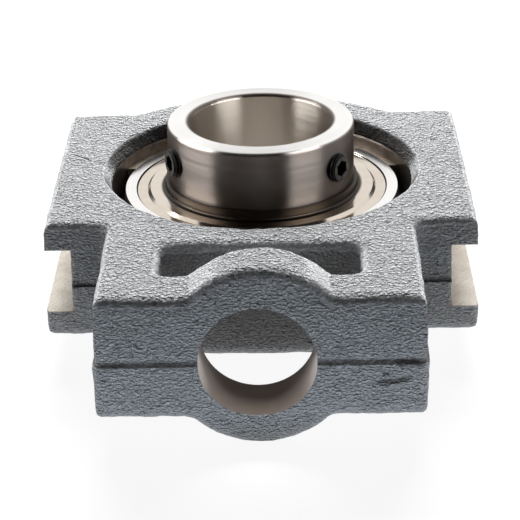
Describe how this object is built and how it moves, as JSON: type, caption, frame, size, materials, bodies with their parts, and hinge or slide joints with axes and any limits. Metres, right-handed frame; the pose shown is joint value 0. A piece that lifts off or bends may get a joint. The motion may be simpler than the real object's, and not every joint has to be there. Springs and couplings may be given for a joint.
{
  "type": "take-up bearing unit",
  "caption": "Cast-iron take-up housing with rail grooves, a slotted tail for an adjusting screw and a self-aligning set-screw insert bearing.",
  "frame": {"origin": "centre of the spherical seat, on the shaft axis in the ball plane", "axes": "+Z along the shaft axis towards the set screws, -Y towards the tail and the adjusting screw, X across the rails"},
  "size_m": [0.1168, 0.1542, 0.0544],
  "materials": {
    "cast_iron_paint": "blue-grey paint over rough sand casting",
    "ground_steel": "ground and polished",
    "ball_steel": "lapped",
    "pressed_steel": "pressed sheet",
    "flinger_steel": "bright pressed sheet",
    "seal_rubber": "moulded",
    "black_oxide": "black oxide",
    "zinc_plate": "zinc plated"
  },
  "bodies": {
    "housing": {"housing": "cast_iron_paint", "nipple_body": "zinc_plate", "nipple_spring": "pressed_steel"},
    "outer_ring": {"outer_ring": "ground_steel", "front_seal": "seal_rubber", "rear_seal": "seal_rubber"},
    "inner_ring": {"inner_ring": "ground_steel", "front_flinger": "flinger_steel", "rear_flinger": "flinger_steel"},
    "cage": {"cage_front_half": "pressed_steel", "cage_rear_half": "pressed_steel", "cage_rivets": "pressed_steel"},
    "ball_1": {"ball_1": "ball_steel"},
    "ball_2": {"ball_2": "ball_steel"},
    "ball_3": {"ball_3": "ball_steel"},
    "ball_4": {"ball_4": "ball_steel"},
    "ball_5": {"ball_5": "ball_steel"},
    "ball_6": {"ball_6": "ball_steel"},
    "ball_7": {"ball_7": "ball_steel"},
    "ball_8": {"ball_8": "ball_steel"},
    "ball_9": {"ball_9": "ball_steel"},
    "set_screw_1": {"set_screw_1": "black_oxide"},
    "set_screw_2": {"set_screw_2": "black_oxide"},
    "nipple_ball": {"nipple_ball": "ball_steel"}
  },
  "joints": [
    {"name": "insert_swivel", "type": "hinge", "parent": "housing", "child": "outer_ring", "pos_m": [0, 0, 0], "axis": [0, 1, 0], "range_deg": [-3, 3]},
    {"name": "inner_ring_spin", "type": "hinge", "parent": "outer_ring", "child": "inner_ring", "pos_m": [0, 0, 0], "axis": [0, 0, 1], "continuous": true},
    {"name": "cage_orbit", "type": "hinge", "parent": "outer_ring", "child": "cage", "pos_m": [0, 0, 0], "axis": [0, 0, 1], "continuous": true},
    {"name": "ball_1_spin", "type": "hinge", "parent": "cage", "child": "ball_1", "pos_m": [-0.01928, 0.02298, 0], "axis": [0, 0, 1], "continuous": true},
    {"name": "ball_2_spin", "type": "hinge", "parent": "cage", "child": "ball_2", "pos_m": [-0.02954, 0.00521, 0], "axis": [0, 0, 1], "continuous": true},
    {"name": "ball_3_spin", "type": "hinge", "parent": "cage", "child": "ball_3", "pos_m": [-0.02598, -0.015, 0], "axis": [0, 0, 1], "continuous": true},
    {"name": "ball_4_spin", "type": "hinge", "parent": "cage", "child": "ball_4", "pos_m": [-0.01026, -0.02819, 0], "axis": [0, 0, 1], "continuous": true},
    {"name": "ball_5_spin", "type": "hinge", "parent": "cage", "child": "ball_5", "pos_m": [0.01026, -0.02819, 0], "axis": [0, 0, 1], "continuous": true},
    {"name": "ball_6_spin", "type": "hinge", "parent": "cage", "child": "ball_6", "pos_m": [0.02598, -0.015, 0], "axis": [0, 0, 1], "continuous": true},
    {"name": "ball_7_spin", "type": "hinge", "parent": "cage", "child": "ball_7", "pos_m": [0.02954, 0.00521, 0], "axis": [0, 0, 1], "continuous": true},
    {"name": "ball_8_spin", "type": "hinge", "parent": "cage", "child": "ball_8", "pos_m": [0.01928, 0.02298, 0], "axis": [0, 0, 1], "continuous": true},
    {"name": "ball_9_spin", "type": "hinge", "parent": "cage", "child": "ball_9", "pos_m": [0, 0.03, 0], "axis": [0, 0, 1], "continuous": true},
    {"name": "set_screw_1_travel", "type": "slide", "parent": "inner_ring", "child": "set_screw_1", "axis": [-0.9171, -0.3987, 0], "range_m": [-0.0013, 0.0035]},
    {"name": "set_screw_2_travel", "type": "slide", "parent": "inner_ring", "child": "set_screw_2", "axis": [0.8039, -0.5948, 0], "range_m": [-0.0013, 0.0035]},
    {"name": "check_ball_travel", "type": "slide", "parent": "housing", "child": "nipple_ball", "axis": [0, -1, 0], "range_m": [0, 0.0008], "stiffness_N_per_m": 100, "springref_m": -0.002, "deforming": ["nipple_spring"]}
  ],
  "couplings": [
    {"joint": "cage_orbit", "follows": "inner_ring_spin", "ratio": 0.40083},
    {"joint": "ball_1_spin", "follows": "inner_ring_spin", "ratio": -2.4219},
    {"joint": "ball_2_spin", "follows": "inner_ring_spin", "ratio": -2.4219},
    {"joint": "ball_3_spin", "follows": "inner_ring_spin", "ratio": -2.4219},
    {"joint": "ball_4_spin", "follows": "inner_ring_spin", "ratio": -2.4219},
    {"joint": "ball_5_spin", "follows": "inner_ring_spin", "ratio": -2.4219},
    {"joint": "ball_6_spin", "follows": "inner_ring_spin", "ratio": -2.4219},
    {"joint": "ball_7_spin", "follows": "inner_ring_spin", "ratio": -2.4219},
    {"joint": "ball_8_spin", "follows": "inner_ring_spin", "ratio": -2.4219},
    {"joint": "ball_9_spin", "follows": "inner_ring_spin", "ratio": -2.4219}
  ]
}
